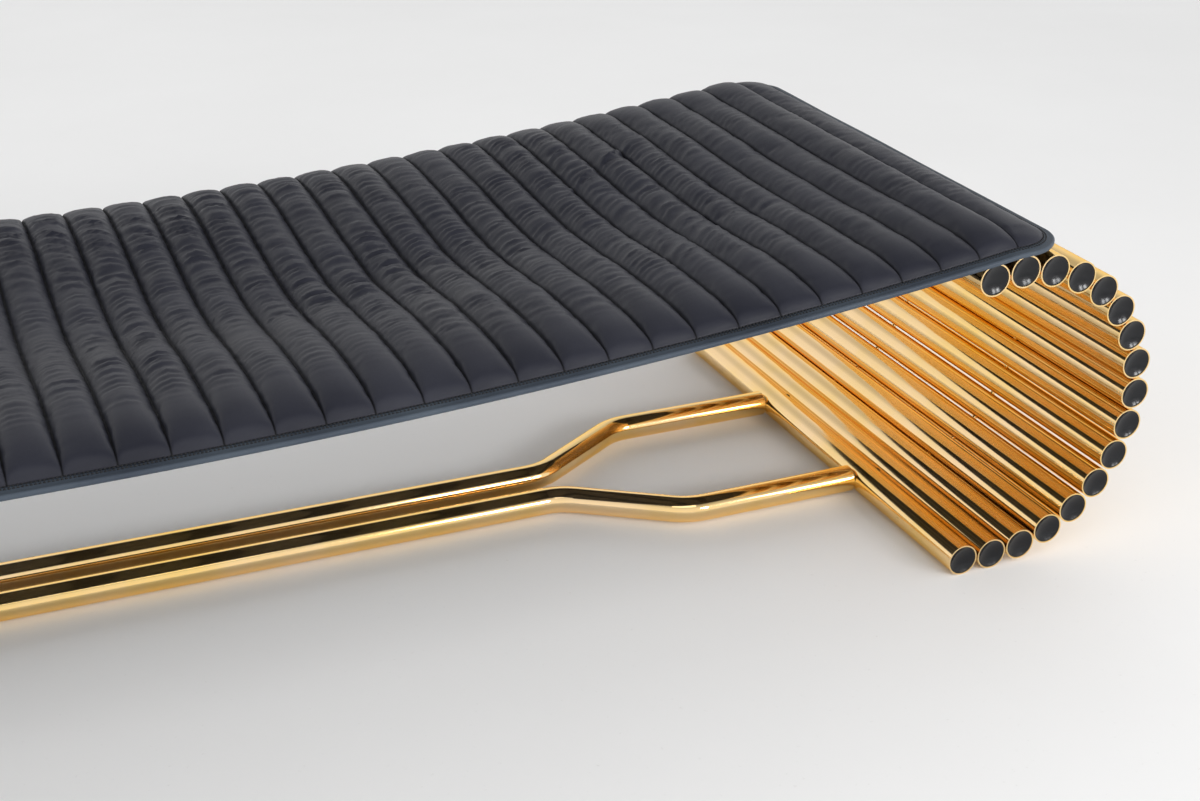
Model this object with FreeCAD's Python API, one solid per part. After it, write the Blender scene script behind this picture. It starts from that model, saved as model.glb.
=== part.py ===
import FreeCAD
import Part
import math
import os

Vector = FreeCAD.Vector

# Driving dimensions, in millimetres and degrees.
# The origin is on the floor under the middle of the seat: X along the seat, Y across it, Z up.

# Rolls of tubes at the two ends
roll_spacing = 2066.0       # between the centres of the two rolls
tube_length = 640.0
tube_d = 35.0
tube_wall = 1.5
tube_gap = 1.5              # slit between neighbouring tubes
tubes_per_turn = 28         # how many would close the roll
arc_tubes = 16              # tubes on the open roll, from the floor up and over the top

# Caps in the tube ends
cap_length = 9.0
cap_recess = 0.6            # cap rim below the tube's end
cap_rim = 1.0               # flat rim round the dish
cap_dish = 4.0
cap_clearance = 0.1

# Tacks that join neighbouring tubes
tack_d = 6.0
tack_row = 110.0            # rows at this distance on both sides of the middle
tack_shift = 38.0           # first pair's rows stand clear of the access holes by this
tack_film = 0.05            # braze film at each end

# Plugs in the first tube's inner side
vent_d = 5.0
vent_offset = 216.0
vent_clearance = 0.1

# Floor rails
rail_d = 30.0
rail_wall = 2.0
rail_mid_offset = 29.5      # axis from the middle, along the straight middle stretch
rail_end_offset = 109.5     # axis from the middle, at the forked ends
fork_inner = 385.0          # first bend, from the roll's centre
fork_outer = 261.0          # second bend, from the roll's centre
bend_r = 60.0

# Bolted butt joints of the rails
joint_gap = 0.1             # rail end to tube
plug_length = 40.0
plug_clearance = 0.3
bolt_d = 8.0
bolt_clearance = 0.2
bolt_reach = 28.0           # thread engaged in the plug
head_d = 13.0
head_length = 5.0
head_seat = 0.2             # head corner to the tube's inner wall
access_d = 15.0

# Seat rails and the straps between them
seat_rail_d = 25.0
seat_rail_wall = 2.0
seat_rail_inset = 80.0      # rail axis from the tubes' ends
strap_width = 50.0
strap_t = 3.0
strap_count = 13
strap_end = 80.0            # last strap's middle from the rail's end

# Pad
seat_sag = 72.5             # middle of the pad's edge below the top of the rolls
rail_rise = 2.5             # pad raised over the seat rails
middle_dip = 17.5           # pad sunk along its middle line
pad_overhang = 9.0          # past the tubes' ends
pad_end_angle = 14.0        # pad's end past the top of the roll
base_t = 7.0                # border thickness
border = 13.0
corner_r = 31.0
channel_count = 48
seam_height = 13.0          # seam above the base
crown = 8.5                 # channel crown above its seams
edge_height = 1.2           # cover's edge above the base
end_round = 42.0            # length over which a channel's end rises to its full height
binding_t = 2.2
binding_lip = 1.0
soft_gap = 0.3              # between soft pieces and what they lie on

# Worked out from the dimensions above
tube_r = tube_d / 2
tube_inner_r = tube_r - tube_wall
half_tube = tube_length / 2
pitch = tube_d + tube_gap
step = 360 / tubes_per_turn
roll_r = pitch / (2 * math.sin(math.radians(step / 2)))
roll_x = roll_spacing / 2
roll_z = roll_r + tube_r
tube_count = arc_tubes + 1
sides = (("right", 1), ("left", -1))
ends = (("front", -1), ("rear", 1))
seat_rail_r = seat_rail_d / 2
seat_rail_y = half_tube - seat_rail_inset
strap_inner_r = seat_rail_r + soft_gap
strap_outer_r = strap_inner_r + strap_t
seat_rail_drop = max(0, strap_outer_r + soft_gap - tube_r)
envelope_r = roll_r + tube_r + soft_gap
edge_mid = roll_z + envelope_r - seat_sag
pad_half_width = half_tube + pad_overhang
cover_half_width = pad_half_width - border

os.makedirs("parts", exist_ok=True)


def save(node, solids):
    # A node is one solid or a group of separate ones.
    shape = solids[0] if len(solids) == 1 else Part.makeCompound(solids)
    shape.exportStep("parts/" + node + ".step")


def cylinder(radius, start, direction, length):
    return Part.makeCylinder(radius, length, start, direction)


# Rolls

def tube_centre(side, number):
    # Tube 1 lies on the floor beside the roll; tube 2 is the roll's lowest, and the rest climb round it.
    if number == 1:
        return Vector(side * (roll_x - pitch), 0, tube_r)
    angle = math.radians(-90 + (number - 2) * step)
    x = roll_x + roll_r * math.cos(angle)
    return Vector(side * x, 0, roll_z + roll_r * math.sin(angle))


def across(centre, y):
    return Vector(centre.x, y, centre.z)


def make_tube(side, number, cutters):
    start = across(tube_centre(side, number), -half_tube)
    along = Vector(0, 1, 0)
    tube = cylinder(tube_r, start, along, tube_length)
    tube = tube.cut(cylinder(tube_inner_r, start, along, tube_length))
    for cutter in cutters:
        tube = tube.cut(cutter)
    return tube.Solids[0]


def make_cap(side, number, end):
    # A plug whose outer face is a round dish.
    outward = Vector(0, end, 0)
    rim = across(tube_centre(side, number), end * (half_tube - cap_recess))
    radius = tube_inner_r - cap_clearance
    dish_r = radius - cap_rim
    ball_r = (dish_r ** 2 + cap_dish ** 2) / (2 * cap_dish)
    plug = cylinder(radius, rim, outward * -1, cap_length)
    ball = Part.makeSphere(ball_r, rim + outward * (ball_r - cap_dish))
    return plug.cut(ball).Solids[0]


def make_tack(side, number, y):
    # A short spacer in the slit between a tube and the next, its ends hollowed to both tubes.
    first = across(tube_centre(side, number), y)
    second = across(tube_centre(side, number + 1), y)
    tack = cylinder(tack_d / 2, first, second - first, (second - first).Length)
    for centre in (first, second):
        start = across(centre, y - tack_d)
        tack = tack.cut(cylinder(tube_r + tack_film, start, Vector(0, 1, 0), 2 * tack_d))
    return tack.Solids[0]


def tack_rows(number):
    row = tack_row + tack_shift if number == 1 else tack_row
    return (-row, row)


def make_vent_plug(side, y, radius, length):
    inward = Vector(-side, 0, 0)
    start = across(tube_centre(side, 1), y) + inward * tube_inner_r
    return cylinder(radius, start, inward, length)


# Bolted butt joints: a rail's square end meets a tube, with a plug in the rail and a bolt from the tube

def joint_cutters(centre, direction):
    # Bolt hole through the near wall, access hole through the far one.
    hole = cylinder(bolt_d / 2 + bolt_clearance, centre, direction, tube_d)
    access = cylinder(access_d / 2, centre, direction * -1, tube_d)
    return [hole, access]


def drill_plug(plug, centre, direction):
    depth = tube_r + joint_gap + bolt_reach + bolt_clearance
    return plug.cut(cylinder(bolt_d / 2 + bolt_clearance, centre, direction, depth)).Solids[0]


def make_bolt(centre, direction, drop):
    # The head seats inside the tube, which it meets further out where the bolt runs below the middle.
    seat = math.sqrt(tube_inner_r ** 2 - (head_d / 2 + drop) ** 2) - head_seat
    under_head = centre + direction * seat
    head = cylinder(head_d / 2, under_head, direction * -1, head_length)
    shank_length = tube_r + joint_gap + bolt_reach - seat
    return head.fuse(cylinder(bolt_d / 2, under_head, direction, shank_length)).Solids[0]


# Floor rails

def rounded_path(points, radius):
    # Straight runs with a tangent arc at each inner corner.
    edges = []
    here = points[0]
    for before, corner, after in zip(points, points[1:], points[2:]):
        back = (before - corner).normalize()
        on = (after - corner).normalize()
        half_angle = back.getAngle(on) / 2
        tangent = radius / math.tan(half_angle)
        bisector = (back + on).normalize()
        middle = corner + bisector * (radius / math.sin(half_angle) - radius)
        enter = corner + back * tangent
        leave = corner + on * tangent
        edges.append(Part.makeLine(here, enter))
        edges.append(Part.Arc(enter, middle, leave).toShape())
        here = leave
    edges.append(Part.makeLine(here, points[-1]))
    return Part.Wire(edges)


def pipe(path, start, direction, radius):
    profile = Part.Wire([Part.makeCircle(radius, start, direction)])
    return path.makePipeShell([profile], True, False)


def make_floor_rail(end):
    reach = roll_x - pitch - tube_r - joint_gap
    half_path = [(roll_x - fork_inner, rail_mid_offset), (roll_x - fork_outer, rail_end_offset),
                 (reach, rail_end_offset)]
    left = [Vector(-x, end * y, tube_r) for x, y in reversed(half_path)]
    right = [Vector(x, end * y, tube_r) for x, y in half_path]
    path = rounded_path(left + right, bend_r)
    outer = pipe(path, left[0], Vector(1, 0, 0), rail_d / 2)
    inner = pipe(path, left[0], Vector(1, 0, 0), rail_d / 2 - rail_wall)
    return outer.cut(inner).Solids[0]


# Line of the seat along X: a long sag arc that meets an arc over each roll

class SeatLine:
    def __init__(self, mid_height):
        self.mid = mid_height
        rise = mid_height - roll_z
        self.sag_r = (rise ** 2 + roll_x ** 2 - envelope_r ** 2) / (2 * (envelope_r - rise))
        self.lean = math.asin(roll_x / (self.sag_r + envelope_r))
        self.sag_reach = self.sag_r * self.lean
        self.reach = self.sag_reach + envelope_r * (self.lean + math.radians(pad_end_angle))

    def point(self, y, along, above):
        # A place at a distance along the line from the middle, and above it.
        if abs(along) <= self.sag_reach:
            angle = along / self.sag_r
            radius = self.sag_r - above
            return Vector(radius * math.sin(angle), y, self.mid + self.sag_r - radius * math.cos(angle))
        angle = self.lean - (abs(along) - self.sag_reach) / envelope_r
        radius = envelope_r + above
        x = math.copysign(roll_x - radius * math.sin(angle), along)
        return Vector(x, y, roll_z + radius * math.cos(angle))

    def height(self, x):
        return self.mid + self.sag_r - math.sqrt(self.sag_r ** 2 - x ** 2)

    def arc(self, y, start, end, above):
        middle = self.point(y, (start + end) / 2, above)
        return Part.Arc(self.point(y, start, above), middle, self.point(y, end, above)).toShape()

    def run(self, y, reach, above):
        # The whole line from -reach to reach, as its three arcs.
        stops = (-reach, -self.sag_reach, self.sag_reach, reach)
        return [self.arc(y, start, end, above) for start, end in zip(stops, stops[1:])]


def wave(y):
    # Height of the pad over its edge line: a hump along each seat rail and a dip between them.
    out = abs(y)
    if out <= seat_rail_y:
        half_swing = (rail_rise + middle_dip) / 2
        return rail_rise - half_swing - half_swing * math.cos(math.pi * out / seat_rail_y)
    fall = min(1, (out - seat_rail_y) / (pad_half_width - seat_rail_y))
    return rail_rise / 2 * (1 + math.cos(math.pi * fall))


def seat_line(y):
    return SeatLine(edge_mid + wave(y))


def mirrored(places):
    return [-y for y in reversed(places)] + [0] + places


# Seat rails: long arcs through the last tubes' centres, or below them where thick rails need it to keep
# the straps no higher than the tubes

class SeatRail:
    def __init__(self):
        last = tube_centre(1, tube_count) - Vector(0, 0, seat_rail_drop)
        self.mid = edge_mid + rail_rise - soft_gap - strap_outer_r
        rise = last.z - self.mid
        self.arc_r = (last.x ** 2 + rise ** 2) / (2 * rise)
        self.tube_angle = math.asin(last.x / self.arc_r)
        self.end_angle = self.tube_angle - (tube_r + joint_gap) / self.arc_r

    def point(self, angle, y):
        x = self.arc_r * math.sin(angle)
        return Vector(x, y, self.mid + self.arc_r * (1 - math.cos(angle)))

    def inward(self, side):
        return Vector(-side * math.cos(self.tube_angle), 0, -math.sin(self.tube_angle))

    def bar(self, y, radius, start, end):
        # A round bar along the rail's arc, between two of its angles.
        square = Vector(math.cos(start), 0, math.sin(start))
        face = Part.Face(Part.Wire([Part.makeCircle(radius, self.point(start, y), square)]))
        middle = Vector(0, y, self.mid + self.arc_r)
        return face.revolve(middle, Vector(0, -1, 0), math.degrees(end - start))


seat_rail = SeatRail()


def floor_joint(side, end):
    # Where a floor rail meets the first tube, and the way from the tube's middle into the rail.
    return across(tube_centre(side, 1), end * rail_end_offset), Vector(-side, 0, 0)


def seat_joint(side, end):
    return seat_rail.point(side * seat_rail.tube_angle, end * seat_rail_y), seat_rail.inward(side)


def make_seat_rail(end):
    y = end * seat_rail_y
    stop = seat_rail.end_angle
    outer = seat_rail.bar(y, seat_rail_r, -stop, stop)
    return outer.cut(seat_rail.bar(y, seat_rail_r - seat_rail_wall, -stop, stop)).Solids[0]


def make_floor_plug(side, end):
    centre, direction = floor_joint(side, end)
    start = centre + direction * (tube_r + joint_gap)
    plug = cylinder(rail_d / 2 - rail_wall - plug_clearance, start, direction, plug_length)
    return drill_plug(plug, centre, direction)


def make_seat_plug(side, end):
    # As curved as the rail that it sits in.
    centre, direction = seat_joint(side, end)
    inner = side * (seat_rail.end_angle - plug_length / seat_rail.arc_r)
    start, stop = sorted((inner, side * seat_rail.end_angle))
    radius = seat_rail_r - seat_rail_wall - plug_clearance
    return drill_plug(seat_rail.bar(end * seat_rail_y, radius, start, stop), centre, direction)


def make_strap(angle):
    # A band from rail to rail with a sewn loop round each, as wide as the strap along X.
    place = seat_rail.point(angle, 0)
    sag = seat_line(seat_rail_y).height(place.x) - seat_line(0).height(place.x)
    left = -strap_width / 2
    along = Vector(1, 0, 0)
    edges = []
    corners = []
    for radius in (strap_outer_r, strap_inner_r):
        front = Vector(left, -seat_rail_y, radius)
        rear = Vector(left, seat_rail_y, radius)
        edges.append(Part.Arc(front, Vector(left, 0, radius - sag), rear).toShape())
        corners.append((front, rear))
    edges += [Part.makeLine(top, bottom) for top, bottom in zip(*corners)]
    strap = Part.Face(Part.Wire(Part.__sortEdges__(edges))).extrude(along * strap_width)
    centres = [Vector(left, end * seat_rail_y, 0) for name, end in ends]
    for centre in centres:
        strap = strap.fuse(cylinder(strap_outer_r, centre, along, strap_width))
    for centre in centres:
        strap = strap.cut(cylinder(strap_inner_r, centre, along, strap_width))
    strap.rotate(Vector(0, 0, 0), Vector(0, 1, 0), -math.degrees(angle))
    strap.translate(place)
    return strap.removeSplitter().Solids[0]


# Pad

def stations():
    # Where the pad's lofts have sections: over the straps, then up to the ends of the channels.
    inner = [seat_rail_y * part for part in (0.25, 0.5, 0.75, 1)]
    return inner + [cover_half_width - end_round * part for part in (1, 0.6, 0.3, 0.1, 0)]


def layer(bottom, top):
    # A sheet that follows the seat, between two heights over its line, longer and wider than the pad.
    spare = 3 * binding_t
    sections = []
    for y in mirrored(stations() + [pad_half_width, pad_half_width + spare]):
        line = seat_line(y)
        reach = line.reach + spare
        under = line.run(y, reach, bottom)
        over = line.run(y, reach, top)
        closing = [Part.makeLine(line.point(y, side * reach, bottom), line.point(y, side * reach, top))
                   for side in (-1, 1)]
        sections.append(Part.Wire(Part.__sortEdges__(under + over + closing)))
    return Part.makeLoft(sections, True, False)


def outline(half_length, half_width, radius):
    # Upright prism with a rounded rectangle for its plan.
    height = 2 * envelope_r + seat_sag
    prism = Part.makeBox(2 * half_length, 2 * half_width, height, Vector(-half_length, -half_width, 0))
    upright = [edge for edge in prism.Edges if abs(edge.tangentAt(edge.FirstParameter).z) > 0.5]
    return prism.makeFillet(radius, upright)


def pad_end_x(inset):
    line = seat_line(0)
    return line.point(0, line.reach - inset, 0).x


def make_pad_base():
    plan = outline(pad_end_x(0), pad_half_width, corner_r)
    return layer(0, base_t).common(plan).Solids[0]


def make_binding():
    end_x = pad_end_x(0)
    inner = outline(end_x + soft_gap, pad_half_width + soft_gap, corner_r + soft_gap)
    grown = soft_gap + binding_t
    outer = outline(end_x + grown, pad_half_width + grown, corner_r + grown)
    return layer(0, base_t + binding_lip).common(outer.cut(inner)).Solids[0]


def end_share(y):
    # A channel's share of its full height: a quarter round up from its end.
    into = min(1, (cover_half_width - abs(y)) / end_round)
    return math.sqrt(1 - (1 - into) ** 2)


def channel_section(y):
    line = seat_line(y)
    bottom = base_t + soft_gap
    share = end_share(y)
    edge = bottom + edge_height
    seam = edge + (seam_height - edge_height) * share
    swell = edge_height + (crown - edge_height) * share
    reach = line.reach - border
    channel = 2 * reach / channel_count
    edges = line.run(y, reach, bottom)
    for number in range(channel_count):
        start = -reach + number * channel
        first = number == 0
        last = number == channel_count - 1
        start_point = line.point(y, start, edge if first else seam)
        end_point = line.point(y, start + channel, edge if last else seam)
        middle = line.point(y, start + channel / 2, seam + swell)
        edges.append(Part.Arc(start_point, middle, end_point).toShape())
    for side in (-1, 1):
        edges.append(Part.makeLine(line.point(y, side * reach, bottom), line.point(y, side * reach, edge)))
    return Part.Wire(Part.__sortEdges__(edges))


def make_channels():
    # The channels' ends rise in a quarter round; between them they follow the wave.
    sections = [channel_section(y) for y in mirrored(stations())]
    plan = outline(pad_end_x(border), cover_half_width, corner_r - border)
    return Part.makeLoft(sections, True, False).common(plan).Solids[0]


# Build and save the nodes

for name, side in sides:
    cutters = {number: [] for number in range(1, tube_count + 1)}
    for end_name, end in ends:
        cutters[1] += joint_cutters(*floor_joint(side, end))
        cutters[1].append(make_vent_plug(side, end * vent_offset, vent_d / 2 + vent_clearance, tube_wall * 2))
        cutters[tube_count] += joint_cutters(*seat_joint(side, end))
    for number in range(1, tube_count + 1):
        save("%s_tube_%02d" % (name, number), [make_tube(side, number, cutters[number])])
    for end_name, end in ends:
        caps = [make_cap(side, number, end) for number in range(1, tube_count + 1)]
        save("%s_%s_caps" % (name, end_name), caps)
    save(name + "_tube_tacks", [make_tack(side, number, y) for number in range(1, tube_count)
                                for y in tack_rows(number)])

save("vent_plugs", [make_vent_plug(side, end * vent_offset, vent_d / 2, tube_wall)
                    for name, side in sides for end_name, end in ends])

for end_name, end in ends:
    save("floor_rail_" + end_name, [make_floor_rail(end)])
    save("seat_rail_" + end_name, [make_seat_rail(end)])

for name, make_plug, joint, drop in (("floor_rail", make_floor_plug, floor_joint, 0),
                                     ("seat_rail", make_seat_plug, seat_joint, seat_rail_drop)):
    places = [(side, end) for side_name, side in sides for end_name, end in ends]
    save(name + "_plugs", [make_plug(side, end) for side, end in places])
    save(name + "_bolts", [make_bolt(*joint(side, end), drop) for side, end in places])

last_strap = seat_rail.end_angle - strap_end / seat_rail.arc_r
strap_step = 2 * last_strap / (strap_count - 1)
save("seat_straps", [make_strap(-last_strap + number * strap_step) for number in range(strap_count)])

save("pad_base", [make_pad_base()])
save("pad_channels", [make_channels()])
save("pad_binding", [make_binding()])
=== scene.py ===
import math
import bpy
import numpy as np
from mathutils import Matrix, Vector, noise


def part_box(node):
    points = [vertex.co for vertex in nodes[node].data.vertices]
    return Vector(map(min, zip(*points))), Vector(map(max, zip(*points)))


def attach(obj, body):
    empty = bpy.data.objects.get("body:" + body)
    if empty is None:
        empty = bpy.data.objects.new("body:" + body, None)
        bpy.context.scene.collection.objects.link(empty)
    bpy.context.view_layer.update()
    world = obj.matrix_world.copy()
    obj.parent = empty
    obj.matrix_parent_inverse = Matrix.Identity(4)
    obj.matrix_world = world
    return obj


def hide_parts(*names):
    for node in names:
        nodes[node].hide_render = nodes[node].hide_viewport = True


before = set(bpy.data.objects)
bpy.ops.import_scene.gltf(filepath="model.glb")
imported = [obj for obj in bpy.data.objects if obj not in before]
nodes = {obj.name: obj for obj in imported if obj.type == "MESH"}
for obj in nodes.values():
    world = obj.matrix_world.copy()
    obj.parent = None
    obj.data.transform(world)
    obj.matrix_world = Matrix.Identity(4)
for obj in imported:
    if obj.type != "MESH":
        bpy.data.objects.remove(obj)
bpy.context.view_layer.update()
print("frame:", len(nodes), "nodes")


# sockets and nodes

class Wire:  # one output of a node tree; arithmetic on it adds Math nodes
    def __init__(self, tree, socket=None):
        self.tree = tree
        self.socket = socket

    def add(self, kind, settings=None, sockets=None, out=0):  # any other node
        node = self.tree.nodes.new("ShaderNode" + kind)
        for name, value in (settings or {}).items():
            if name == "stops":
                setStops(node.color_ramp, value)
            else:
                setattr(node, name, value)
        for key, value in (sockets or {}).items():
            if isinstance(value, Wire):
                self.tree.links.new(value.socket, node.inputs[key])
            else:
                node.inputs[key].default_value = value
        return Wire(self.tree, node.outputs[out] if node.outputs else None)

    def maths(self, operation, *values):
        return self.add("Math", {"operation": operation}, dict(enumerate(values)))

    def __add__(self, other):
        return self.maths("ADD", self, other)

    def __radd__(self, other):
        return self.maths("ADD", other, self)

    def __sub__(self, other):
        return self.maths("SUBTRACT", self, other)

    def __rsub__(self, other):
        return self.maths("SUBTRACT", other, self)

    def __mul__(self, other):
        return self.maths("MULTIPLY", self, other)

    def __rmul__(self, other):
        return self.maths("MULTIPLY", other, self)


def setStops(ramp, stops):
    while len(ramp.elements) < len(stops):
        ramp.elements.new(0.5)  # moved to its own place below
    for element, (spot, colour) in zip(ramp.elements, stops):
        element.position = spot
        element.color = (*colour, 1)


def grey(value):
    return (value, value, value)


def place(tree):  # where on the object, in metres
    return tree.add("TexCoord", out="Object")


def axisOf(vector, number):  # 0, 1 or 2 for X, Y or Z
    return vector.add("SeparateXYZ", None, {0: vector}, out=number)


def stretched(vector, scale):
    return vector.add("Mapping", {"vector_type": "POINT"}, {"Vector": vector, "Scale": scale})


def cloudy(vector, scale, detail, roughness):
    sockets = {"Vector": vector, "Scale": scale, "Detail": detail, "Roughness": roughness}
    return vector.add("TexNoise", None, sockets)


def ramped(value, *stops):
    return value.add("ValToRGB", {"stops": stops}, {"Fac": value})


def between(value, low, high):  # 0 up to low, 1 from high on
    return ramped(value, (low, grey(0)), (high, grey(1)))


def blended(factor, first, second):  # two colours
    return factor.add("Mix", {"data_type": "RGBA"}, {"Factor": factor, 6: first, 7: second}, out=2)


def bumped(height, distance, strength, under=None):
    sockets = {"Height": height, "Distance": distance, "Strength": strength}
    if under:
        sockets["Normal"] = under
    return height.add("Bump", None, sockets)


def newMaterial(name):
    material = bpy.data.materials.new(name)
    material.use_nodes = True
    material.node_tree.nodes.clear()
    return material, Wire(material.node_tree)


def close(tree, **sockets):  # the shader and the material's output
    named = {key.replace("_", " "): value for key, value in sockets.items()}
    surface = tree.add("BsdfPrincipled", None, named)
    tree.add("OutputMaterial", None, {"Surface": surface})


# finishes: each noise has a scale, a detail and a roughness, each bump a depth and a strength

brass = {
    "light": (0.96, 0.70, 0.40, 1), "deep": (0.94, 0.65, 0.23, 1), "edge": (1.0, 0.80, 0.45, 1),
    "film": (7.0, 4.0, 0.6), "filmRange": (0.35, 0.7),  # slow changes of tone and polish, as from handling
    "smears": (60.0, 3.0, 0.5), "smearRange": (0.45, 0.75), "roughness": 0.080, "smearRough": 0.09,
    "streaks": (900.0, 2.0, 0.5), "streakBump": (0.000012, 0.35),
    "tubeGrain": (1.0, 0.006, 1.0), "railGrain": (0.006, 1.0, 1.0),  # drawn out along the piece
}


def makeBrass(name, grain):
    material, tree = newMaterial(name)
    here = place(tree)
    polished = stretched(here, grain)
    streak = cloudy(polished, *brass["streaks"])
    smear = between(cloudy(polished, *brass["smears"]), *brass["smearRange"])
    film = cloudy(here, *brass["film"])
    tone = between(film, *brass["filmRange"])
    close(tree, Base_Color=blended(tone, brass["light"], brass["deep"]), Metallic=1.0,
          Roughness=brass["roughness"] + brass["smearRough"] * smear * film,
          Specular_Tint=brass["edge"], Normal=bumped(streak, *brass["streakBump"]))
    return material


capFinish = {
    "colour": (0.004, 0.0043, 0.0055, 1), "worn": (0.008, 0.0085, 0.0105, 1), "specular": 0.36,
    "haze": (160.0, 4.0, 0.6), "hazeRange": (0.4, 0.75), "roughness": 0.15, "hazeRough": 0.12,
    "dimples": (2600.0, 2.0, 0.5), "dimpleBump": (0.00002, 0.4),
}


def makeCapFinish():
    material, tree = newMaterial("cap gloss")
    here = place(tree)
    haze = between(cloudy(here, *capFinish["haze"]), *capFinish["hazeRange"])
    dimple = cloudy(here, *capFinish["dimples"])
    close(tree, Base_Color=blended(haze, capFinish["colour"], capFinish["worn"]),
          Roughness=capFinish["roughness"] + capFinish["hazeRough"] * haze,
          Specular_IOR_Level=capFinish["specular"], Normal=bumped(dimple, *capFinish["dimpleBump"]))
    return material


leather = {
    "dark": (0.0140, 0.0148, 0.0228, 1), "light": (0.0275, 0.0288, 0.0400, 1),
    # seam: near-black painted shade, mixed in by the seam attribute in the seam creases and on the edge's
    # flange
    "seam": (0.001, 0.001, 0.0012, 1), "specular": 0.195,
    "coverTint": (1.0, 1.0, 1.0), "coverRoughness": 0.35,
    # the edge leather: partly its own bluer hue, partly painted sheen, drawn far lighter than the cover to
    # stand in for the fold's highlight
    "edgeHueAndPaintedSheen": (2.6, 3.15, 2.85), "edgeRoughness": 0.36,
    "patches": (9.0, 5.0, 0.55), "patchRange": (0.35, 0.72), "patchShare": 0.75, "patchRough": 0.10,
    "grainScale": 950.0, "pebble": ((0.0, grey(0)), (0.25, grey(0.8)), (0.6, grey(1))),
    "pebbleShare": 0.25, "creaseRough": 0.08, "pebbleBump": (0.00010, 0.35),
    "pores": (3000.0, 3.0, 0.5), "poreBump": (0.00004, 0.3), "seamRough": 0.3,
}


def tinted(colour, tint):
    return (*(share * channel for share, channel in zip(tint, colour)), 1)


def makeLeather(name, tint, roughness):
    material, tree = newMaterial(name)
    here = place(tree)
    edges = {"feature": "DISTANCE_TO_EDGE"}
    cells = here.add("TexVoronoi", edges, {"Vector": here, "Scale": leather["grainScale"]})
    pebble = ramped(cells, *leather["pebble"])
    patch = between(cloudy(here, *leather["patches"]), *leather["patchRange"])
    # the seam attribute carries painted shade: darker in the seam creases and on the edge's flange
    paintedShade = here.add("Attribute", {"attribute_name": "seam"}, out="Fac")
    tone = patch * leather["patchShare"] + leather["pebbleShare"] * pebble
    plain = blended(tone, tinted(leather["dark"], tint), tinted(leather["light"], tint))
    rough = roughness + leather["patchRough"] * patch + leather["creaseRough"] * (1 - pebble)
    pores = bumped(cloudy(here, *leather["pores"]), *leather["poreBump"])
    close(tree, Base_Color=blended(paintedShade, plain, leather["seam"]),
          Roughness=rough + leather["seamRough"] * paintedShade, Specular_IOR_Level=leather["specular"],
          Normal=bumped(pebble, *leather["pebbleBump"], pores))
    return material


backing = {
    "dark": (0.045, 0.045, 0.046, 1), "light": (0.085, 0.084, 0.083, 1),
    "roughness": 0.82, "fleckRough": 0.1, "nap": (700.0, 4.0, 0.65), "fleckRange": (0.35, 0.7),
    "napBump": (0.0003, 0.5),
}


def makeBacking():
    material, tree = newMaterial("pad backing")
    nap = cloudy(place(tree), *backing["nap"])
    fleck = between(nap, *backing["fleckRange"])
    close(tree, Base_Color=blended(fleck, backing["dark"], backing["light"]),
          Roughness=backing["roughness"] + backing["fleckRough"] * fleck,
          Normal=bumped(nap, *backing["napBump"]))
    return material


thread = {
    "dark": (0.002, 0.002, 0.0025, 1), "light": (0.008, 0.008, 0.010, 1),
    "roughness": 0.5, "twistRough": 0.2, "twist": (2500.0, 2.0, 0.5), "twistBump": (0.0001, 0.6),
}


def makeThread():
    material, tree = newMaterial("sewing thread")
    twist = cloudy(place(tree), *thread["twist"])
    close(tree, Base_Color=blended(twist, thread["dark"], thread["light"]),
          Roughness=thread["roughness"] + thread["twistRough"] * twist,
          Normal=bumped(twist, *thread["twistBump"]))
    return material


webbing = {
    "dark": (0.010, 0.010, 0.011, 1), "light": (0.030, 0.030, 0.032, 1), "yarn": 0.0022,
    "roughness": 0.75, "weaveRough": 0.15, "weaveBump": (0.0004, 0.7),
}


def makeWebbing():
    material, tree = newMaterial("woven webbing")
    here = place(tree)
    turns = 2 * math.pi / webbing["yarn"]
    ribs, picks = (axisOf(here, axis) * turns for axis in (0, 1))
    weave = 0.5 + 0.5 * ribs.maths("SINE", ribs) * picks.maths("SINE", picks)
    close(tree, Base_Color=blended(weave, webbing["dark"], webbing["light"]),
          Roughness=webbing["roughness"] + webbing["weaveRough"] * weave,
          Normal=bumped(weave, *webbing["weaveBump"]))
    return material


steel = {
    # each finish: two colours, metallic, roughness
    "painted": ((0.015, 0.015, 0.016, 1), (0.035, 0.035, 0.036, 1), 0.0, 0.38),
    "bare": ((0.50, 0.50, 0.51, 1), (0.36, 0.36, 0.37, 1), 1.0, 0.3),
    "speckle": (420.0, 5.0, 0.6), "speckleRange": (0.4, 0.7), "speckleRough": 0.15,
    "speckleBump": (0.00008, 0.4),
}


def makeSteel(name, first, second, metallic, roughness):
    material, tree = newMaterial(name)
    speckle = cloudy(place(tree), *steel["speckle"])
    mask = between(speckle, *steel["speckleRange"])
    close(tree, Base_Color=blended(mask, first, second), Metallic=metallic,
          Roughness=roughness + steel["speckleRough"] * mask, Normal=bumped(speckle, *steel["speckleBump"]))
    return material


tubeBrass = makeBrass("polished brass tube", brass["tubeGrain"])
railBrass = makeBrass("polished brass rail", brass["railGrain"])
capGloss = makeCapFinish()
coverLeather = makeLeather("pad leather", leather["coverTint"], leather["coverRoughness"])
# the edge leather's lighter colour is painted sheen on the fold, with a bluer hue of its own
edgeLeather = makeLeather("pad edge leather", leather["edgeHueAndPaintedSheen"], leather["edgeRoughness"])
padBackingCloth = makeBacking()
sewingThread = makeThread()
wovenWebbing = makeWebbing()
blackPaint = makeSteel("black painted steel", *steel["painted"])
bareSteel = makeSteel("bare steel", *steel["bare"])
print("finishes made")


def dress(node, material):
    for slot in nodes[node].material_slots:
        slot.material = material


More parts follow.
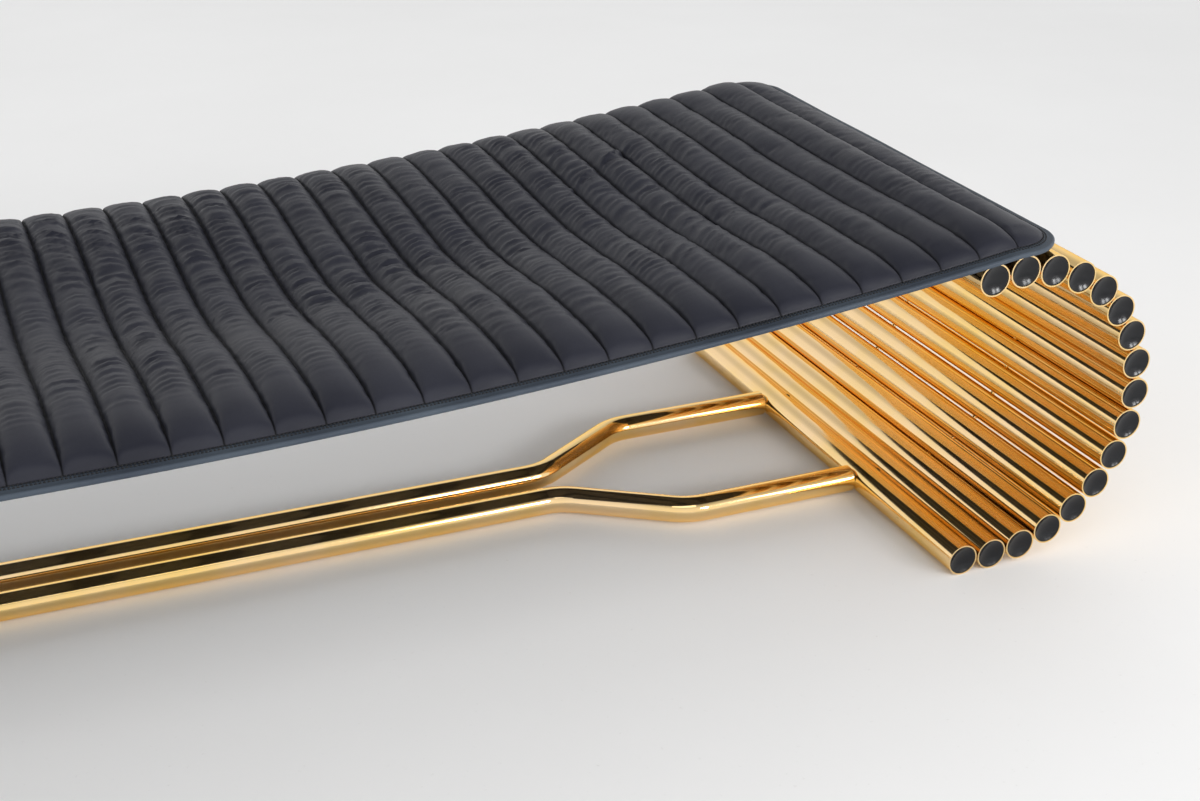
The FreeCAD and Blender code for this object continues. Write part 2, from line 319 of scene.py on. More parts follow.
for name in nodes:
    if "_tube_" in name or name == "vent_plugs":
        dress(name, tubeBrass)
    elif name in ("floor_rail_front", "floor_rail_rear"):
        dress(name, railBrass)
    elif name.endswith("_caps"):
        dress(name, capGloss)
    elif name in ("seat_rail_front", "seat_rail_rear"):
        dress(name, blackPaint)
    elif name.endswith(("_plugs", "_bolts")):
        dress(name, bareSteel)
print("frame dressed")


# seat line: a long sag arc that meets an arc over each roll

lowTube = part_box("right_tube_02")
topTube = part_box("right_tube_16")
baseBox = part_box("pad_base")
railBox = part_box("seat_rail_rear")
seat = {
    "rollX": (lowTube[0].x + lowTube[1].x) / 2, "rollZ": topTube[1].z / 2, "softGap": 0.0003,
    "railY": (railBox[0].y + railBox[1].y) / 2, "halfWidth": baseBox[1].y, "endX": baseBox[1].x,
    "sag": 0.0725, "railRise": 0.0025, "middleDip": 0.0175, "cornerR": 0.046, "endTurn": math.radians(14),
    "endOut": 0.004, "endLift": 0.0045, "liftFrom": 0.100, "liftMost": 1.1,  # the ends stand up a little
}
seat["overR"] = seat["rollZ"] + seat["softGap"]  # from the roll's centre to the pad's underside
seat["edgeMid"] = seat["rollZ"] + seat["overR"] - seat["sag"]


def padWave(y):  # a hump along each seat rail, a dip between them
    out = np.abs(y)
    half = (seat["railRise"] + seat["middleDip"]) / 2
    inner = seat["railRise"] - half - half * np.cos(np.pi * np.minimum(1, out / seat["railY"]))
    fall = np.clip((out - seat["railY"]) / (seat["halfWidth"] - seat["railY"]), 0, 1)
    return np.where(out <= seat["railY"], inner, seat["railRise"] / 2 * (1 + np.cos(np.pi * fall)))


def seatArcs(y):  # height at the middle, sag radius, where the sag arc ends
    mid = seat["edgeMid"] + padWave(y)
    rise = mid - seat["rollZ"]
    sagR = (rise ** 2 + seat["rollX"] ** 2 - seat["overR"] ** 2) / (2 * (seat["overR"] - rise))
    lean = np.arcsin(seat["rollX"] / (sagR + seat["overR"]))
    return mid, sagR, lean


def seatReach(y):  # from the middle to the pad's end, along the line
    sagR, lean = seatArcs(y)[1:]
    return sagR * lean + seat["overR"] * (lean + seat["endTurn"]) + seat["endOut"]


def seatPoint(along, y, above):
    along, y, above = np.broadcast_arrays(along, y, above)
    mid, sagR, lean = seatArcs(y)
    sagTurn = along / sagR
    sagOut = sagR - above
    rollTurn = lean - (np.abs(along) - sagR * lean) / seat["overR"]
    rollOut = seat["overR"] + above
    onSag = np.abs(along) <= sagR * lean
    past = seat["overR"] * np.minimum(0, rollTurn)  # straight out from the top of the roll
    rollTurn = np.maximum(0, rollTurn)
    out = seat["rollX"] - rollOut * np.sin(rollTurn) - past
    x = np.where(onSag, sagOut * np.sin(sagTurn), np.sign(along) * out)
    z = np.where(onSag, mid + sagR - sagOut * np.cos(sagTurn), seat["rollZ"] + rollOut * np.cos(rollTurn))
    spring = np.clip((np.abs(along) - seatReach(y)) / seat["liftFrom"] + 1, 0, seat["liftMost"])
    return np.stack([x, y, z + seat["endLift"] * spring ** 2], -1)


def alongAt(x, y):  # the place along the line over a plan point
    sagR, lean = seatArcs(y)[1:]
    out = np.abs(x)
    onSag = sagR * np.arcsin(np.minimum(1, out / sagR))
    turn = np.arcsin(np.clip((seat["rollX"] - out) / seat["overR"], 0, 1))
    onRoll = sagR * lean + seat["overR"] * (lean - turn) + np.maximum(0, out - seat["rollX"])
    return np.sign(x) * np.where(out <= sagR * np.sin(lean), onSag, onRoll)


def onSeat(plan, above):
    return seatPoint(alongAt(plan[..., 0], plan[..., 1]), plan[..., 1], above)


def makePiece(name, points, faces, material):
    mesh = bpy.data.meshes.new(name)
    mesh.from_pydata(points.reshape(-1, 3).tolist(), [], faces)
    mesh.polygons.foreach_set("use_smooth", [True] * len(mesh.polygons))
    mesh.materials.append(material)
    piece = bpy.data.objects.new(name, mesh)
    bpy.context.scene.collection.objects.link(piece)
    return piece


def markSeam(piece, values):  # painted shade: how much darker the leather is drawn at each point
    seam = piece.data.attributes.new("seam", "FLOAT", "POINT")
    seam.data.foreach_set("value", np.asarray(values, np.float32))


def gridFaces(rows, columns, wrapRows=False, wrapColumns=False, flip=False):
    index = np.arange(rows * columns).reshape(rows, columns)
    if wrapRows:
        index = np.vstack([index, index[:1]])
    if wrapColumns:
        index = np.hstack([index, index[:, :1]])
    quads = np.stack([index[:-1, :-1], index[:-1, 1:], index[1:, 1:], index[1:, :-1]], -1).reshape(-1, 4)
    return (quads[:, ::-1] if flip else quads).tolist()


def spread(spots, scale, seed):  # smooth noise at each place of a grid
    flat = spots.reshape(-1, 2) * np.array(scale)
    values = [noise.noise(Vector((x, y, seed))) for x, y in flat.tolist()]
    return np.array(values).reshape(spots.shape[:-1])


def roundUp(part, power):  # from 0 to 1, steep at first
    return 1 - (1 - np.clip(part, 0, 1)) ** power


def fadeIn(distance, start, length, least=0):
    return np.clip((distance - start) / length, least, 1)


def bell(distance, middle, width):
    return np.exp(-((distance - middle) / width) ** 2)


# padded cover

cover = {
    "channels": 48, "border": 0.0130, "bottom": 0.0043,
    # heights over the seat line: the rim, the seams, and the crown of a channel over its seams
    "edge": 0.0076, "seam": 0.0196, "crown": 0.0076, "rimCrown": 0.10, "endCrown": 0.6,
    # rise from the long sides, quick at first, and from the ends: distance, power
    "foot": (0.009, 2.0), "footShare": 0.36, "side": (0.080, 3.2), "endRound": 0.055, "endPower": 1.6,
    # powers of a channel's round, and what is added to them near the long sides
    "hump": (2.0, 0.76), "humpFlat": (0.6, -0.16), "flatEnd": (0.13, 2.0),
    # the last: how far from each seam, as a share of the channel, the painted shade in the crease reaches
    "groove": 0.0019, "grooveWidth": 0.0009, "shadeWidth": 0.032,
    # slow unevenness: noise scale, seed and share, and how it starts inside the rim
    "uneven": 0.0022, "swells": (((5.0, 8.0), 1.5, 1.0), ((16.0, 22.0), 7.5, 0.5)),
    "unevenSide": (0.03, 0.05), "unevenEnd": (0.0, 0.12),
    "across": (0.0, 0.014, 0.036, 0.085, 0.17, 0.30, 0.5, 0.70, 0.83, 0.915, 0.964, 0.986),
    "rowStep": 0.0050, "endRows": (0.0, 0.0014, 0.0032, 0.0058, 0.0095), "bottomEvery": 24,
}
cover["halfWidth"] = seat["halfWidth"] - cover["border"]
cover["cornerR"] = seat["cornerR"] - cover["border"]


def coverRows():  # y of each row, closer together at the channels' ends
    ends = np.array(cover["endRows"])
    inner = cover["halfWidth"] - ends[-1] - cover["rowStep"]
    count = int(round(2 * inner / cover["rowStep"])) + 1
    middle = np.linspace(-inner, inner, count)
    return np.concatenate([-cover["halfWidth"] + ends, middle, cover["halfWidth"] - ends[::-1]])


def coverColumns():  # channel number and place across it, for each column
    count = cover["channels"]
    channel = np.repeat(np.arange(count), len(cover["across"]))
    across = np.tile(cover["across"], count)
    return np.append(channel, count - 1), np.append(across, 1.0)


def outerRim(channel, across):  # the outer halves of the two end channels, which end at no seam
    left = (channel == 0) & (across < 0.5)
    right = (channel == cover["channels"] - 1) & (across > 0.5)
    return left | right


def coverGrid():
    y = coverRows()[:, None]
    channel, across = coverColumns()
    reach = seatReach(y) - cover["border"]
    width = 2 * reach / cover["channels"]
    lateral = np.clip(np.abs(y) - (cover["halfWidth"] - cover["cornerR"]), 0, cover["cornerR"])
    cornerCut = cover["cornerR"] - np.sqrt(cover["cornerR"] ** 2 - lateral ** 2)
    squeeze = 1 - cornerCut / width  # the outer channels are shorter where the corners are round
    first, last = channel == 0, channel == cover["channels"] - 1
    share = np.where(first, 1 - (1 - across) * squeeze, np.where(last, across * squeeze, across))
    along = -reach + (channel + share) * width
    y = y + 0 * along
    inward = cover["halfWidth"] - np.abs(y)
    rise = [roundUp(inward / far, power) for far, power in (cover["foot"], cover["side"])]
    into = cover["footShare"] * rise[0] + (1 - cover["footShare"]) * rise[1]
    fromEnd = (reach - cornerCut - np.abs(along)) / cover["endRound"]
    low = cover["edge"] + (cover["seam"] - cover["edge"]) * into * roundUp(fromEnd, cover["endPower"])
    flatFar, flatPower = cover["flatEnd"]
    flat = 1 - roundUp(inward / flatFar, flatPower)  # channels are flatter near the long sides
    inner, outer = (power + more * flat for power, more in zip(cover["hump"], cover["humpFlat"]))
    hump = (1 - np.abs(2 * across - 1) ** inner) ** outer
    crown = cover["crown"] * (cover["rimCrown"] + (1 - cover["rimCrown"]) * into)
    high = crown * hump * np.where(first | last, cover["endCrown"], 1)
    fromSeam = np.where(outerRim(channel, across), 1, np.minimum(across, 1 - across) * width)
    groove = cover["groove"] * bell(fromSeam, 0, cover["grooveWidth"]) * into
    inside = fadeIn(inward, *cover["unevenSide"]) * fadeIn(reach - np.abs(along), *cover["unevenEnd"])
    places = np.stack([along, y], -1)
    swell = sum(part * spread(places, scale, seed) for scale, seed, part in cover["swells"])
    return along, y, low + high - groove + cover["uneven"] * inside * swell, channel, across


# how loose the leather lies, away from the sides and ends: start, length and least value of each fade
looseness = {"front": (0.05, 0.10), "rear": (0.012, 0.05), "ends": (0.05, 0.35, 0.3)}


def slackness(along, y):  # most in the dip
    front = fadeIn(y + cover["halfWidth"], *looseness["front"])
    rear = fadeIn(cover["halfWidth"] - y, *looseness["rear"])
    ends = fadeIn(seatReach(y) - np.abs(along), *looseness["ends"])
    return front * rear * ends


filling = {
    "frames": 13, "quality": 5, "mass": 0.25, "pressure": 4.0, "damping": 5.0, "airDamping": 3,
    "stiffness": 40.0, "shear": 12.0, "bending": 0.06,
    "slackLeast": -0.003, "slackMost": -0.013, "slackSteps": 20, "leastMove": 1e-9, "mostMove": 0.006,
}


def fill(points, faces, held, slack):  # the leather swells between its seams and wrinkles where it is slack
    piece = makePiece("coverFilling", points, faces, coverLeather)
    index = np.arange(held.size).reshape(held.shape)
    piece.vertex_groups.new(name="held").add(index[held].tolist(), 1.0, "REPLACE")
    loose = piece.vertex_groups.new(name="slack")
    steps = np.round(slack * filling["slackSteps"]).astype(int)
    for step in range(1, filling["slackSteps"] + 1):
        loose.add(index[steps == step].tolist(), step / filling["slackSteps"], "REPLACE")
    cloth = piece.modifiers.new("filling", "CLOTH")
    settings = cloth.settings
    settings.quality = filling["quality"]
    settings.mass = filling["mass"]
    settings.tension_stiffness = filling["stiffness"]
    settings.compression_stiffness = filling["stiffness"]
    settings.shear_stiffness = filling["shear"]
    settings.bending_stiffness = filling["bending"]
    settings.tension_damping = filling["damping"]
    settings.compression_damping = filling["damping"]
    settings.shear_damping = filling["damping"]
    settings.air_damping = filling["airDamping"]
    settings.vertex_group_mass = "held"
    settings.vertex_group_shrink = "slack"
    settings.shrink_min = filling["slackLeast"]
    settings.shrink_max = filling["slackMost"]
    settings.use_pressure = True
    settings.uniform_pressure_force = filling["pressure"]
    settings.effector_weights.gravity = 0
    cloth.collision_settings.use_collision = False
    cloth.point_cache.frame_start = 1
    cloth.point_cache.frame_end = filling["frames"]
    for number in range(1, filling["frames"] + 1):
        bpy.context.scene.frame_set(number)
    shape = piece.evaluated_get(bpy.context.evaluated_depsgraph_get()).data
    moved = np.zeros(points.size, np.float32)
    shape.vertices.foreach_get("co", moved)
    bpy.data.objects.remove(piece)
    bpy.context.scene.frame_set(1)
    move = moved.reshape(points.shape) - points
    far = np.linalg.norm(move, axis=-1, keepdims=True)
    mean, most = (round(float(length) * 1000, 2) for length in (far.mean(), far.max()))
    print("filling: mean move", mean, "mm, most", most, "mm")
    return points + move * np.minimum(1, filling["mostMove"] / np.maximum(far, filling["leastMove"]))


def refined(grid):  # one more row between each two, on a smooth line through the four nearest
    wide = np.concatenate([2 * grid[:1] - grid[1:2], grid, 2 * grid[-1:] - grid[-2:-1]])
    finer = np.repeat(grid, 2, axis=0)[:-1]
    finer[1::2] = (9 * (wide[1:-2] + wide[2:-1]) - wide[:-3] - wide[3:]) / 16
    return finer


folds = {
    "height": 0.0023, "seed": 11.0, "sideFade": 0.6,
    "sets": ((52.0, 0.6, 2.2, 2.0), (98.0, 1.2, 1.8, 1.6)),  # closeness, weight, narrowness, sharpness
    "alongScale": 9, "channelShift": 2.3,  # so that neighbouring channels differ
    "lean": 0.006, "leanMore": 0.036, "leanNoise": ((4.0, 5.0), 3.5), "bow": 0.010,
    "patch": 0.70, "patchMore": 0.9, "patchNoise": ((8, 7), 21.5), "patchRange": (0.3, 1.2),
}


def ridges(along, y, channel, across):  # thin folds across each channel with broad hollows between
    places = np.stack([along, y], -1)
    lean = folds["lean"] + folds["leanMore"] * spread(places, *folds["leanNoise"])
    line = y + (across - 0.5) * lean + folds["bow"] * (across - 0.5) ** 2
    row = along * folds["alongScale"] + channel * folds["channelShift"]
    heights = np.zeros(along.shape)
    for pitch, weight, narrow, power in folds["sets"]:
        crease = np.abs(spread(np.stack([row, line * pitch], -1), (1, 1), folds["seed"] + pitch))
        heights += weight * np.clip(1 - narrow * crease, 0, 1) ** power
    patch = folds["patch"] + folds["patchMore"] * spread(places, *folds["patchNoise"])
    heights *= np.clip(patch, *folds["patchRange"])
    return heights * np.sin(np.pi * across) ** folds["sideFade"] * slackness(along, y)


gathers = {"height": 0.0010, "noise": ((95, 14), 31.5), "fromEnd": 0.010, "width": 0.011, "sideFade": 0.5}


def puckers(along, y, across):  # small gathers at the foot of each channel's ends
    gather = spread(np.stack([along, y], -1), *gathers["noise"])
    foot = bell(cover["halfWidth"] - np.abs(y), gathers["fromEnd"], gathers["width"])
    return gather * foot * np.sin(np.pi * across) ** gathers["sideFade"]


pulls = {
    # place along and across, half length, turn, height; then middle and width beside a fold's line
    "folds": ((0.732, 0.097, 0.026, 0.65, 0.0036), (0.790, 0.141, 0.024, 0.62, 0.0040),
              (0.845, 0.010, 0.014, 0.45, 0.0016)),
    "crest": (0.002, 0.0030), "hollow": (-0.005, 0.005), "hollowShare": 0.35,
}


def pulled(along, y):  # short folds where the leather was pulled
    heights = np.zeros(along.shape)
    for spotX, spotY, half, turn, height in pulls["folds"]:
        run = (along - spotX) * math.cos(turn) + (y - spotY) * math.sin(turn)
        off = (y - spotY) * math.cos(turn) - (along - spotX) * math.sin(turn)
        section = bell(off, *pulls["crest"]) - pulls["hollowShare"] * bell(off, *pulls["hollow"])
        heights += height * np.exp(-(run / half) ** 4) * section
    return heights


def coverUnderside(along, y, across):  # one panel for each channel and a few rows, with walls up to the rim
    rows, columns = along.shape
    picked = np.unique(np.append(np.arange(0, rows, cover["bottomEvery"]), rows - 1))
    seams = np.append(np.flatnonzero(across == 0), columns - 1)
    under = seatPoint(along, y, cover["bottom"])[np.ix_(picked, seams)]
    top = np.arange(along.size).reshape(along.shape)
    low = along.size + np.arange(picked.size * seams.size).reshape(picked.size, seams.size)
    faces = (np.array(gridFaces(*low.shape, flip=True)) + along.size).tolist()
    for k in range(len(seams) - 1):
        span = top[:, seams[k]:seams[k + 1] + 1]
        faces.append(span[0, ::-1].tolist() + low[0, k:k + 2].tolist())
        faces.append(span[-1].tolist() + low[-1, k:k + 2][::-1].tolist())
    for k in range(len(picked) - 1):
        span = top[picked[k]:picked[k + 1] + 1]
        faces.append(span[:, 0].tolist() + low[k:k + 2, 0][::-1].tolist())
        faces.append(span[::-1, -1].tolist() + low[k:k + 2, -1].tolist())
    return under, faces


def makeCover():
    along, y, above, channel, across = coverGrid()
    points = seatPoint(along, y, above)
    held = np.broadcast_to(across == 0, along.shape).copy()
    held[:, -1] = held[0] = held[-1] = True
    points = fill(points, gridFaces(*along.shape), held, slackness(along, y))
    along, y, points = refined(along), refined(y), refined(points)
    points[..., 2] += folds["height"] * ridges(along, y, channel, across) + pulled(along, y)
    points[..., 2] += gathers["height"] * puckers(along, y, across)
    under, underFaces = coverUnderside(along, y, across)
    points = np.concatenate([points.reshape(-1, 3), under.reshape(-1, 3)])
    piece = makePiece("padCover", points, gridFaces(*along.shape) + underFaces, coverLeather)
    # painted shade in the seam creases, fading out across the channel; none on the outer halves of the end
    # channels
    paintedShade = np.clip(1 - np.minimum(across, 1 - across) / cover["shadeWidth"], 0, 1)
    paintedShades = np.zeros(len(points))
    paintedShades[:along.size] = np.tile(np.where(outerRim(channel, across), 0, paintedShade), len(along))
    markSeam(piece, paintedShades)
    return piece


padCover = makeCover()
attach(padCover, "root")
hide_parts("pad_channels")
print("cover:", len(padCover.data.vertices), "points")


# folded edge, base under the cover, and stitching

edge = {
    "step": 0.006, "cornerSteps": 14,
    "waver": 0.0005, "waverNoise": ((9, 9), 4.0), "waverAbove": 0.001,  # unevenness of hand sewn leather
    # outward from the base's side, and height over the seat line, round the fold
    "fold": ((-cover["border"], 0.0074), (-0.0100, 0.0068), (-0.0066, 0.0056), (-0.0048, 0.0055),
             (-0.0030, 0.0057), (-0.0016, 0.0053), (-0.0007, 0.0043), (-0.0005, 0.0031), (-0.0006, 0.0017),
             (-0.0012, 0.0006), (-0.0024, 0.0000), (-0.0056, -0.0001), (-0.0146, 0.0000), (-0.0146, 0.0010),
             (-0.0056, 0.0012), (-0.0031, 0.0022), (-0.0031, 0.0034), (-0.0051, 0.0042),
             (-cover["border"], 0.0060)),
    "flangeShade": 0.22, "flangePoints": 5,  # painted shade: how much darker the sloping flange at the channels' feet is drawn, and how many points of the fold it covers
}


def outline(inset):  # plan points and outward directions round the pad, corners rounded
    radius = seat["cornerR"] - inset
    lengthX = seat["endX"] + seat["endOut"] - inset - radius
    lengthY = seat["halfWidth"] - inset - radius
    points, outward = [], []
    corners = ((1, -1, -90), (1, 1, 0), (-1, 1, 90), (-1, -1, 180))
    for number, (signX, signY, startTurn) in enumerate(corners):
        centre = np.array([signX * lengthX, signY * lengthY])
        for turn in np.radians(np.linspace(startTurn, startTurn + 90, edge["cornerSteps"])):
            way = np.array([math.cos(turn), math.sin(turn)])
            points.append(centre + radius * way)
            outward.append(way)
        nextX, nextY = corners[(number + 1) % len(corners)][:2]
        goal = np.array([nextX * lengthX, nextY * lengthY]) + radius * way
        start = points[-1]
        count = int(np.linalg.norm(goal - start) / edge["step"])
        for part in range(1, count):
            points.append(start + (goal - start) * part / count)
            outward.append(way)
    return np.array(points), np.array(outward)


def makeFoldedEdge():
    plan, outward = outline(0)
    fold = np.array(edge["fold"])
    height = fold[None, :, 1]
    lift = edge["waver"] * spread(plan, *edge["waverNoise"])[:, None]
    rings = plan[:, None, :] + outward[:, None, :] * fold[None, :, :1]
    points = onSeat(rings, height + lift * (height > edge["waverAbove"]))
    piece = makePiece("padBinding", points, gridFaces(len(plan), len(fold), True, True, True), edgeLeather)
    # painted shade on the flange, from the channels' feet up to the fold's crest
    paintedShades = np.where(np.arange(len(fold)) < edge["flangePoints"], edge["flangeShade"], 0.0)
    markSeam(piece, np.tile(paintedShades, len(plan)))
    return piece


padBinding = makeFoldedEdge()
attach(padBinding, "root")
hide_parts("pad_binding")

base = {"columns": 220, "rows": 60, "top": 0.0041, "bottom": 0.0001, "inset": 0.0033, "cornerR": 0.0427}


def makeBase():  # a closed slab
    y = np.linspace(-1, 1, base["rows"])[:, None] * (seat["halfWidth"] - base["inset"])
    lateral = np.clip(np.abs(y) - (seat["halfWidth"] - base["inset"] - base["cornerR"]), 0, base["cornerR"])
    cut = base["cornerR"] - np.sqrt(np.maximum(0, base["cornerR"] ** 2 - lateral ** 2))
    x = np.linspace(-1, 1, base["columns"])[None, :] * (seat["endX"] + seat["endOut"] - base["inset"] - cut)
    plan = np.stack(np.broadcast_arrays(x, y), -1)
    top = onSeat(plan, base["top"]).reshape(-1, 3)
    bottom = onSeat(plan, base["bottom"]).reshape(-1, 3)
    rows, columns = base["rows"], base["columns"]
    count = rows * columns
    under = [[corner + count for corner in face] for face in gridFaces(rows, columns, flip=True)]
    index = np.arange(count).reshape(rows, columns)
    rim = np.concatenate([index[0], index[1:, -1], index[-1, -2::-1], index[-2:0:-1, 0]])
    walls = [[a, a + count, b + count, b] for a, b in zip(rim.tolist(), np.roll(rim, -1).tolist())]
    faces = gridFaces(rows, columns) + under + walls
    return makePiece("padBase", np.concatenate([top, bottom]), faces, padBackingCloth)


padBase = makeBase()
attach(padBase, "root")
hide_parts("pad_base")

stitch = {
    "rows": ((0.0120, 0.0075), (0.0092, 0.0067)),  # in from the base's side, height over the seat line
    "pitch": 0.0035, "length": 0.0026, "radius": 0.00075, "sides": 6, "near": 0.001,
    # rings along a stitch: place in its length, then thickness and height in its radius
    "rings": ((-0.5, 0.25, -1.0), (-0.38, 0.9, -0.25), (0.0, 1.0, 0.2), (0.38, 0.9, -0.25),
              (0.5, 0.25, -1.0)),
}


def onLine(line, run, spots):  # points at distances along a closed line
    return np.stack([np.interp(spots % run[-1], run, line[:, axis]) for axis in range(3)], -1)


def stitchRow(inset, above):  # points by stitch, ring, side and axis
    line = onSeat(outline(inset)[0], above)
    line = np.vstack([line, line[:1]])
    run = np.concatenate([[0], np.cumsum(np.linalg.norm(np.diff(line, axis=0), axis=1))])
    count = int(run[-1] / stitch["pitch"])
    middles = (np.arange(count) + 0.5) * run[-1] / count
    tangent = onLine(line, run, middles + stitch["near"]) - onLine(line, run, middles - stitch["near"])
    tangent /= np.linalg.norm(tangent, axis=1)[:, None]
    up = np.array([0, 0, 1.0]) - tangent * tangent[:, 2:]
    up /= np.linalg.norm(up, axis=1)[:, None]
    side = np.cross(tangent, up)
    spot, thick, rise = (values[:, None] for values in np.array(stitch["rings"]).T)
    centre = onLine(line, run, middles)[:, None]
    centre = centre + tangent[:, None] * spot * stitch["length"] + up[:, None] * rise * stitch["radius"]
    turns = np.linspace(0, 2 * math.pi, stitch["sides"], endpoint=False)[:, None]
    ring = side[:, None] * np.cos(turns) + up[:, None] * np.sin(turns)
    return centre[:, :, None] + stitch["radius"] * thick[:, None] * ring[:, None]


def makeStitches():
    points = np.concatenate([stitchRow(*row).reshape(-1, 3) for row in stitch["rows"]])
    rings, sides = len(stitch["rings"]), stitch["sides"]
    ends = [list(range(sides)), list(range((rings - 1) * sides, rings * sides))[::-1]]
    oneStitch = gridFaces(rings, sides, wrapColumns=True, flip=True) + ends
    faces = []
    for start in range(0, len(points), rings * sides):
        faces += [[corner + start for corner in face] for face in oneStitch]
    return makePiece("padStitching", points, faces, sewingThread)


padStitching = makeStitches()
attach(padStitching, "root")
print("edge sewn:", len(padStitching.data.polygons), "faces of stitching")


# straps from rail to rail under the pad

strap = {
    "count": 13, "halfWidth": 0.025, "thickness": 0.0026, "bevel": 0.0008, "endGap": 0.080,
    "railR": 0.0125, "toMiddle": 0.0015,  # from the gap round the rail to the middle of the band
    "arcSteps": 24, "loopSteps": 18, "loopTurns": (-20, -270),  # round the rear rail, ending on its top
}


def seatHeight(x, y):
    return seatPoint(alongAt(x, np.array(y)), y, 0)[2]


def strapPath(dip, middleR):  # y and height: round the rear rail, across, round the front rail
    turns = np.radians(np.linspace(*strap["loopTurns"], strap["loopSteps"]))
    rear = [(seat["railY"] - middleR * math.cos(turn), middleR * math.sin(turn)) for turn in turns]
    sagR = (seat["railY"] ** 2 + dip ** 2) / (2 * dip)
    ys = np.linspace(seat["railY"], -seat["railY"], strap["arcSteps"])[1:-1]
    band = [(y, middleR - dip + sagR - math.sqrt(sagR ** 2 - y ** 2)) for y in ys]
    return np.array(rear + band + [(-y, z) for y, z in rear[::-1]])


def strapSection():  # along the rail, and through the band
    half, thin = strap["halfWidth"], strap["thickness"] / 2
    flat = half - strap["bevel"]
    return np.array([(-half, 0), (-flat, thin), (flat, thin), (half, 0), (flat, -thin), (-flat, -thin)])


def makeStraps():
    railMid = railBox[0].z + strap["railR"]
    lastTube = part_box("right_tube_17")
    lastX = (lastTube[0].x + lastTube[1].x) / 2
    lastZ = (lastTube[0].z + lastTube[1].z) / 2
    rise = lastZ - railMid
    arcR = (lastX ** 2 + rise ** 2) / (2 * rise)
    tubeR = (lastTube[1].x - lastTube[0].x) / 2
    stop = math.asin(lastX / arcR) - (tubeR + strap["endGap"]) / arcR
    middleR = strap["railR"] + seat["softGap"] + strap["toMiddle"]
    section = strapSection()
    sides = len(section)
    points, faces, offset = [], [], 0
    for turn in np.linspace(-stop, stop, strap["count"]):
        centre = np.array([arcR * math.sin(turn), railMid + arcR * (1 - math.cos(turn))])
        dip = seatHeight(centre[0], seat["railY"]) - seatHeight(centre[0], 0.0)
        path = strapPath(dip, middleR)
        tangent = np.gradient(path, axis=0)
        tangent /= np.linalg.norm(tangent, axis=1)[:, None]
        normal = np.stack([-tangent[:, 1], tangent[:, 0]], 1)
        yz = path[:, None, :] + normal[:, None, :] * section[None, :, 1:]
        x = centre[0] + section[None, :, 0] * math.cos(turn) - yz[..., 1] * math.sin(turn)
        z = centre[1] + section[None, :, 0] * math.sin(turn) + yz[..., 1] * math.cos(turn)
        points.append(np.stack([x, yz[..., 0], z], -1).reshape(-1, 3))
        faces += (np.array(gridFaces(len(path), sides, wrapColumns=True)) + offset).tolist()
        last = offset + (len(path) - 1) * sides
        faces += [list(range(offset, offset + sides))[::-1], list(range(last, last + sides))]
        offset += len(path) * sides
    return makePiece("seatStraps", np.concatenate(points), faces, wovenWebbing)


seatStraps = makeStraps()
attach(seatStraps, "root")
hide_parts("seat_straps")
print("straps:", strap["count"])


# floor, light and camera

floorFinish = {
    "size": 40.0, "pale": (0.90, 0.90, 0.90, 1), "grey": (0.74, 0.735, 0.73, 1),
    "clouds": (1.3, 5.0, 0.6), "cloudRange": (0.35, 0.8), "cloudShare": 0.20,
    "pits": (160.0, 3.0, 0.6), "pitRange": (0.66, 0.78), "pitShare": 0.50, "pitBump": (0.0004, 0.3),
    "roughness": 0.6, "cloudRough": 0.2,
}


def makeFloor():
    material, tree = newMaterial("pale floor")
    here = place(tree)
    clouds = between(cloudy(here, *floorFinish["clouds"]), *floorFinish["cloudRange"])
    pits = between(cloudy(here, *floorFinish["pits"]), *floorFinish["pitRange"])
    mask = floorFinish["cloudShare"] * clouds + floorFinish["pitShare"] * pits
    close(tree, Base_Color=blended(mask, floorFinish["pale"], floorFinish["grey"]),
          Roughness=floorFinish["roughness"] + floorFinish["cloudRough"] * clouds, Specular_IOR_Level=0.0,
          Normal=bumped(pits, *floorFinish["pitBump"]))
    size = floorFinish["size"] / 2
    corners = np.array([(-size, -size, 0), (size, -size, 0), (size, size, 0), (-size, size, 0)])
    floor = makePiece("floor", corners, [[0, 1, 2, 3]], material)


studio = {
    # strength at the horizon and overhead, as light and as seen in gloss
    "lit": (1.75, 0.24), "mirrored": (1.0, 0.28),
    "climb": ((0.0, grey(0)), (0.48, grey(0.12)), (0.82, grey(1))),  # bright walls below a darker ceiling
    "fromRight": 0.40,
}


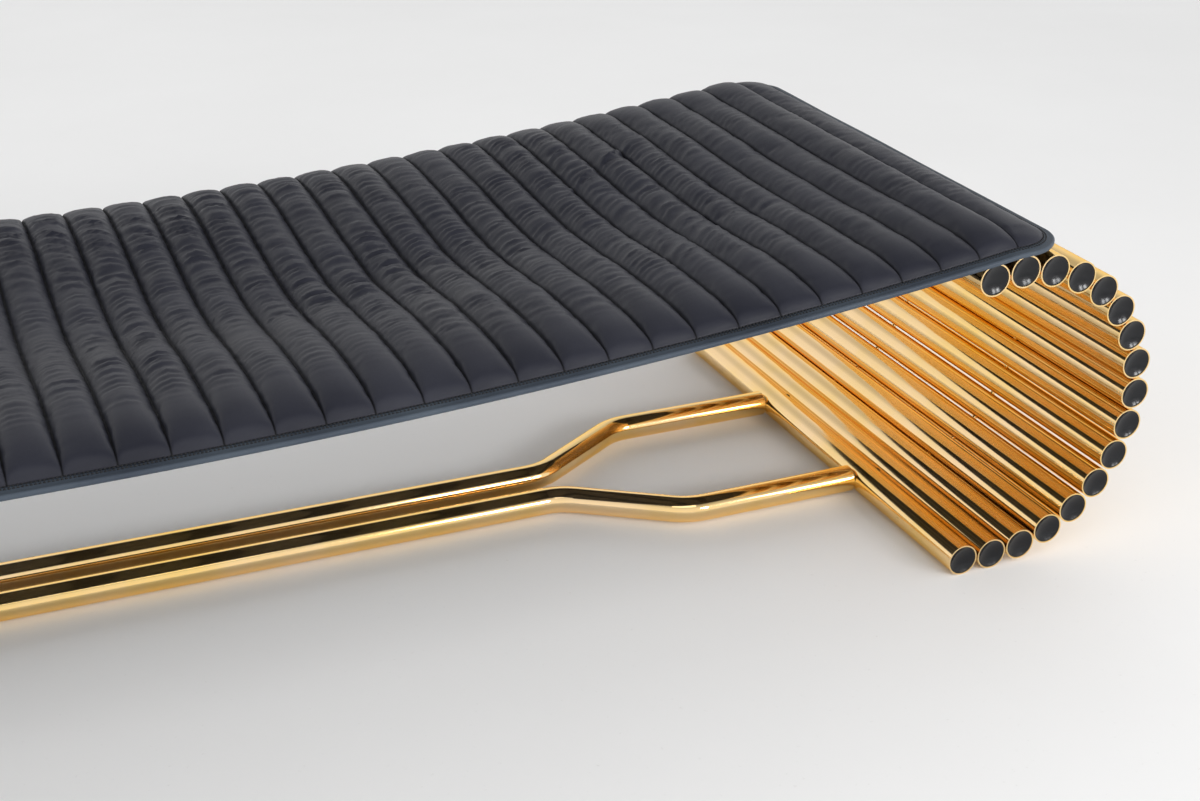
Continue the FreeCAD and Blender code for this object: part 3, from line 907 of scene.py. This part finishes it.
def makeWorld():
    world = bpy.data.worlds.new("studio")
    bpy.context.scene.world = world
    world.use_nodes = True
    world.node_tree.nodes.clear()
    tree = Wire(world.node_tree)
    rays = ("Is Camera Ray", "Is Transmission Ray", "Is Glossy Ray")
    direct, through, glossy = (tree.add("LightPath", out=ray) for ray in rays)
    seen = direct.maths("MAXIMUM", direct, through)
    way = tree.add("TexCoord", out="Generated")
    climb = ramped(axisOf(way, 2), *studio["climb"])
    low, high = (lit + (shown - lit) * glossy for lit, shown in zip(studio["lit"], studio["mirrored"]))
    slant = 1 + studio["fromRight"] * axisOf(way, 0) * (1 - glossy)
    light = (low + (high - low) * climb) * slant
    strength = light + (1 - light) * seen
    background = tree.add("Background", None, {"Color": (1, 1, 1, 1), "Strength": strength})
    tree.add("OutputWorld", None, {"Surface": background})


softBoxes = {
    "aim": (0.6, 0.0, 0.2),
    # place, size, power, spread of the beam in degrees
    "lamps": (((1.75, -3.2, 1.35), 0.6, 3.5, 70), ((2.75, -3.0, 1.35), 0.6, 3.0, 70),
              ((0.0, -2.6, 4.2), 3.0, 39.0, 180)),
}


def makeLights():
    for number, (spot, size, power, spreadAngle) in enumerate(softBoxes["lamps"]):
        box = bpy.data.lights.new("softBox" + str(number), "AREA")
        box.energy = power
        box.size = size
        box.spread = math.radians(spreadAngle)
        lamp = bpy.data.objects.new(box.name, box)
        lamp.location = spot
        lamp.rotation_euler = (Vector(softBoxes["aim"]) - Vector(spot)).to_track_quat("-Z", "Y").to_euler()
        bpy.context.scene.collection.objects.link(lamp)


view = {
    "place": (-0.0257, -1.6751, 0.9862), "yaw": 23.684, "pitch": 25.423, "roll": 0.812,
    "lens": 53.325, "sensor": 36,
}


def makeCamera():
    yaw, pitch, roll = (math.radians(view[key]) for key in ("yaw", "pitch", "roll"))
    ahead = Vector((math.sin(yaw) * math.cos(pitch), math.cos(yaw) * math.cos(pitch), -math.sin(pitch)))
    level = Vector((math.cos(yaw), -math.sin(yaw), 0))
    up = level.cross(ahead)
    right = level * math.cos(roll) + up * math.sin(roll)
    above = up * math.cos(roll) - level * math.sin(roll)
    data = bpy.data.cameras.new("camera")
    data.lens = view["lens"]
    data.sensor_width = view["sensor"]
    camera = bpy.data.objects.new("camera", data)
    turned = Matrix((right, above, -ahead)).transposed().to_4x4()
    camera.matrix_world = Matrix.Translation(view["place"]) @ turned
    bpy.context.scene.collection.objects.link(camera)
    bpy.context.scene.camera = camera


makeFloor()
makeWorld()
makeLights()
makeCamera()
bpy.context.scene.view_settings.view_transform = "Standard"
print("stage set")
